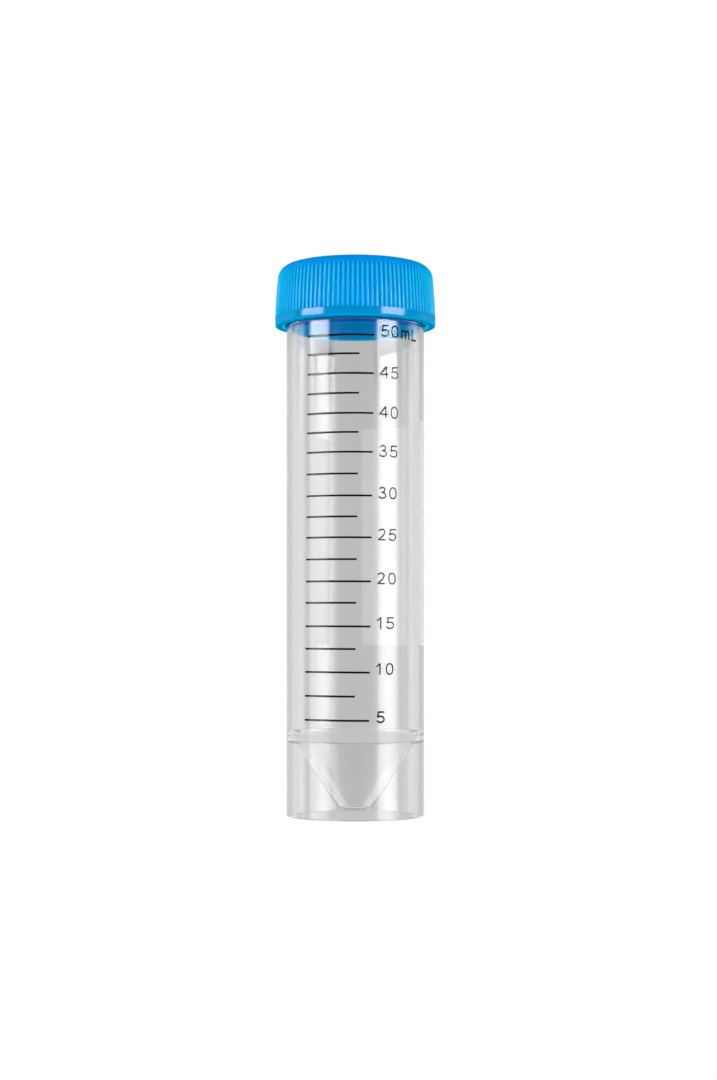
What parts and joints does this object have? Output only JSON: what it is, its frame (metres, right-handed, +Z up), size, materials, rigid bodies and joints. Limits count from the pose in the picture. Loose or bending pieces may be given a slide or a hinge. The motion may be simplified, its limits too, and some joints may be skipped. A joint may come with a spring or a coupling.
{
  "type": "50 ml conical centrifuge tube",
  "caption": "Clear plastic tube with a conical bottom inside a skirt that lets it stand, printed volume marks, and a ribbed blue screw cap with a plug seal.",
  "frame": {"origin": "centre of the skirt's foot, on the surface the tube stands on", "axes": "+Z up along the tube's axis to the cap; -Y towards the middle of the volume marks; +X to their right"},
  "size_m": [0.0336, 0.0336, 0.1155],
  "materials": {
    "clear_plastic": "clear, faintly hazy polypropylene, smooth, with printed marks",
    "blue_plastic": "azure moulded plastic, semi-gloss, slightly translucent"
  },
  "bodies": {
    "tube_body": {"tube": "clear_plastic"},
    "cap_body": {"cap": "blue_plastic"}
  },
  "joints": [
    {"name": "cap_lift", "type": "slide", "parent": "tube_body", "child": "cap_body", "axis": [0, 0, 1], "range_m": [0, 0.03]}
  ]
}
